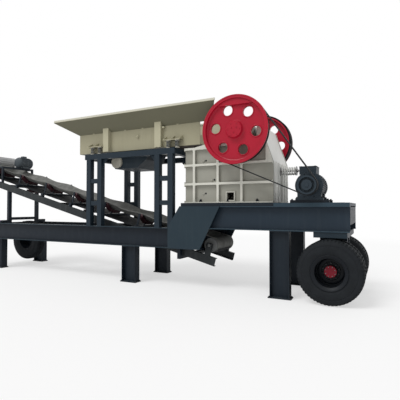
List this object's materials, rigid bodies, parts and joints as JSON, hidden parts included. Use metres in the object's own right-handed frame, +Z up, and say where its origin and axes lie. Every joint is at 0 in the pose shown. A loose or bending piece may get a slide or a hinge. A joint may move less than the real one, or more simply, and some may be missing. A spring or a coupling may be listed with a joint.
{
  "type": "trailer-mounted jaw crushing plant",
  "caption": "Jaw crushing plant on a wheeled chassis with support legs, a vibrating feeder, a jaw crusher with flywheels and belt drive, and an inclined belt conveyor.",
  "frame": {"origin": "on the ground, in the middle of the plant's length and width", "axes": "+X along the chassis from the conveyor's head towards the road wheels, +Y across, away from the belt drive, +Z up from the ground"},
  "size_m": [10.47, 1.97, 3.677],
  "materials": {
    "frame_paint": "semi-gloss, dusty",
    "crusher_paint": "semi-gloss",
    "feeder_paint": "satin, dusty",
    "red_paint": "gloss",
    "tyre_rubber": "matte",
    "rim_paint": "satin",
    "wear_iron": "rough cast",
    "machined_steel": "machined",
    "belt_rubber": "matte",
    "motor_paint": "satin, dusty",
    "cover_paint": "satin",
    "roller_paint": "satin, dusty",
    "drum_steel": "satin",
    "chute_steel": "satin, worn"
  },
  "bodies": {
    "plant": {"axle_beam": "frame_paint", "axle_hangers": "frame_paint", "bearing_housings": "crusher_paint", "cheek_plates": "wear_iron", "conveyor_belt": "belt_rubber", "conveyor_frame": "frame_paint", "conveyor_posts": "frame_paint", "conveyor_pulleys": "roller_paint", "conveyor_rollers": "roller_paint", "crusher_base_rails": "frame_paint", "crusher_end_walls": "crusher_paint", "crusher_sides": "crusher_paint", "discharge_chute": "chute_steel", "drive_belts": "belt_rubber", "exciter_covers": "cover_paint", "exciter_housing": "motor_paint", "feeder_flares": "feeder_paint", "feeder_springs": "cover_paint", "feeder_stiffeners": "feeder_paint", "feeder_trough": "feeder_paint", "frame_cross_members": "frame_paint", "grizzly_bars": "wear_iron", "high_beams": "frame_paint", "idler_stands": "frame_paint", "jaw_liners": "wear_iron", "ladder_posts": "frame_paint", "low_beams": "frame_paint", "magnet_drum": "drum_steel", "magnet_frame": "frame_paint", "magnet_motor": "motor_paint", "motor_housing": "motor_paint", "motor_slide_rails": "frame_paint", "motor_terminal_box": "motor_paint", "rear_deck": "frame_paint", "spare_carrier": "frame_paint", "spare_rim": "rim_paint", "spare_tyre": "tyre_rubber", "step_gussets": "frame_paint", "support_legs": "frame_paint", "swing_jaw": "crusher_paint", "tail_hanger": "frame_paint", "tension_rod": "machined_steel", "tension_spring": "cover_paint", "toggle_plate": "wear_iron", "tower_top_frame": "frame_paint"},
    "flywheels": {"near_flywheel": "red_paint", "far_flywheel": "red_paint", "eccentric_shaft": "machined_steel"},
    "motor_pulley_body": {"motor_pulley": "motor_paint"},
    "near_wheels": {"near_tyres": "tyre_rubber", "near_rims": "rim_paint", "near_hub_cap": "red_paint"},
    "far_wheels": {"far_tyres": "tyre_rubber", "far_rims": "rim_paint", "far_hub_cap": "red_paint"}
  },
  "joints": [
    {"name": "flywheel_spin", "type": "hinge", "parent": "plant", "child": "flywheels", "pos_m": [3.085, 0, 3.03], "axis": [0, 1, 0], "continuous": true},
    {"name": "motor_pulley_spin", "type": "hinge", "parent": "plant", "child": "motor_pulley_body", "pos_m": [4.355, -0.855, 1.985], "axis": [0, 1, 0], "continuous": true},
    {"name": "near_wheel_spin", "type": "hinge", "parent": "plant", "child": "near_wheels", "pos_m": [4.695, -0.605, 0.54], "axis": [0, 1, 0], "continuous": true},
    {"name": "far_wheel_spin", "type": "hinge", "parent": "plant", "child": "far_wheels", "pos_m": [4.695, 0.605, 0.54], "axis": [0, 1, 0], "continuous": true}
  ],
  "couplings": [
    {"joint": "motor_pulley_spin", "follows": "flywheel_spin", "ratio": 3.6548}
  ]
}
